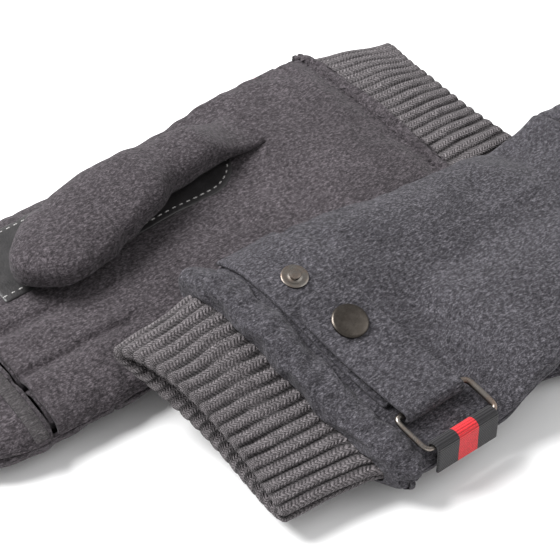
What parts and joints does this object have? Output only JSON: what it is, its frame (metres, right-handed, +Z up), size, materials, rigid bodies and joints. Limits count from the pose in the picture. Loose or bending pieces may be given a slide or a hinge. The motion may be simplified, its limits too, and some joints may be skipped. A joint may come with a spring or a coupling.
{
  "type": "convertible_flip_top_mittens",
  "caption": "Pair of charcoal wool flip-top mittens with rib-knit cuffs, snap wrist straps on metal rings, striped webbing tabs, leather palm patches and fingertip caps that hinge back",
  "frame": {"origin": "middle of the pair's box in plan, at its lowest point", "axes": "+X runs from the right mitten's fingertips to its cuff, +Y towards its thumb side, +Z up"},
  "size_m": [0.3264, 0.1988, 0.044],
  "materials": {
    "right_wool": "brushed wool melton",
    "left_wool": "brushed heather wool melton",
    "rib_knit": "rib knit wool",
    "fleece": "fleece",
    "leather": "smooth",
    "webbing": "striped grosgrain",
    "gunmetal": "dark satin",
    "nickel": "worn nickel"
  },
  "bodies": {
    "right_mitten": {"right_rib_cuff": "rib_knit", "right_wrist_hem": "right_wool", "right_back_panel": "right_wool", "right_palm_panel": "right_wool", "right_lining": "fleece", "right_palm_patch": "leather", "right_little_stall": "right_wool", "right_ring_stall": "right_wool", "right_middle_stall": "right_wool", "right_index_stall": "right_wool", "right_strap_base": "right_wool", "right_webbing_tab": "webbing", "right_snap_stud": "nickel", "right_spare_stud": "nickel"},
    "right_thumb_end": {"right_thumb": "right_wool"},
    "right_flip_cap": {"right_cap_back": "right_wool", "right_cap_palm": "right_wool", "right_cap_binding": "rib_knit"},
    "right_ring_loop": {"right_strap_ring": "nickel"},
    "right_flap_end": {"right_strap_flap": "right_wool", "right_snap_cap": "gunmetal", "right_snap_socket": "nickel"},
    "left_mitten": {"left_rib_cuff": "rib_knit", "left_wrist_hem": "left_wool", "left_back_panel": "left_wool", "left_palm_panel": "left_wool", "left_lining": "fleece", "left_palm_patch": "leather", "left_little_stall": "left_wool", "left_ring_stall": "left_wool", "left_middle_stall": "left_wool", "left_index_stall": "left_wool", "left_strap_base": "left_wool", "left_webbing_tab": "webbing", "left_snap_stud": "nickel", "left_spare_stud": "nickel"},
    "left_thumb_end": {"left_thumb": "left_wool"},
    "left_flip_cap": {"left_cap_back": "left_wool", "left_cap_palm": "left_wool", "left_cap_binding": "rib_knit"},
    "left_ring_loop": {"left_strap_ring": "nickel"},
    "left_flap_end": {"left_strap_flap": "left_wool", "left_snap_cap": "gunmetal", "left_snap_socket": "nickel"}
  },
  "joints": [
    {"name": "right_cap_flip", "type": "hinge", "parent": "right_mitten", "child": "right_flip_cap", "pos_m": [-0.09765, 0.04518, 0.00001], "axis": [0, -1, 0], "range_deg": [0, 155], "stiffness_Nm_per_rad": 0.02},
    {"name": "right_thumb_bend", "type": "hinge", "parent": "right_mitten", "child": "right_thumb_end", "pos_m": [0.00935, 0.06618, 0.02878], "axis": [0, 1, 0], "range_deg": [0, 35], "stiffness_Nm_per_rad": 0.05},
    {"name": "right_ring_swing", "type": "hinge", "parent": "right_mitten", "child": "right_ring_loop", "pos_m": [0.02976, 0.09441, 0.01017], "axis": [1, 0, 0], "range_deg": [0, 12], "stiffness_Nm_per_rad": 0.002},
    {"name": "right_flap_peel", "type": "hinge", "parent": "right_ring_loop", "child": "right_flap_end", "pos_m": [0.02976, 0.08133, 0.00638], "axis": [1, 0, 0], "range_deg": [0, 135], "stiffness_Nm_per_rad": 0.005},
    {"name": "left_cap_flip", "type": "hinge", "parent": "left_mitten", "child": "left_flip_cap", "pos_m": [0.09693, -0.02882, 0.03221], "axis": [0.1387, -0.9903, 0], "range_deg": [0, 155], "stiffness_Nm_per_rad": 0.02},
    {"name": "left_thumb_bend", "type": "hinge", "parent": "left_mitten", "child": "left_thumb_end", "pos_m": [-0.00702, -0.05061, 0.00388], "axis": [0, 1, 0], "range_deg": [0, 20], "stiffness_Nm_per_rad": 0.05},
    {"name": "left_ring_swing", "type": "hinge", "parent": "left_mitten", "child": "left_ring_loop", "pos_m": [-0.02288, -0.08306, 0.01914], "axis": [1, -0.0046, 0], "range_deg": [0, 12], "stiffness_Nm_per_rad": 0.002},
    {"name": "left_flap_peel", "type": "hinge", "parent": "left_ring_loop", "child": "left_flap_end", "pos_m": [-0.02485, -0.06905, 0.02301], "axis": [1, -0.0038, 0], "range_deg": [0, 135], "stiffness_Nm_per_rad": 0.005},
    {"name": "left_lift", "type": "slide", "parent": "right_mitten", "child": "left_mitten", "axis": [0, 0, 1], "range_m": [0, 0.08]}
  ]
}
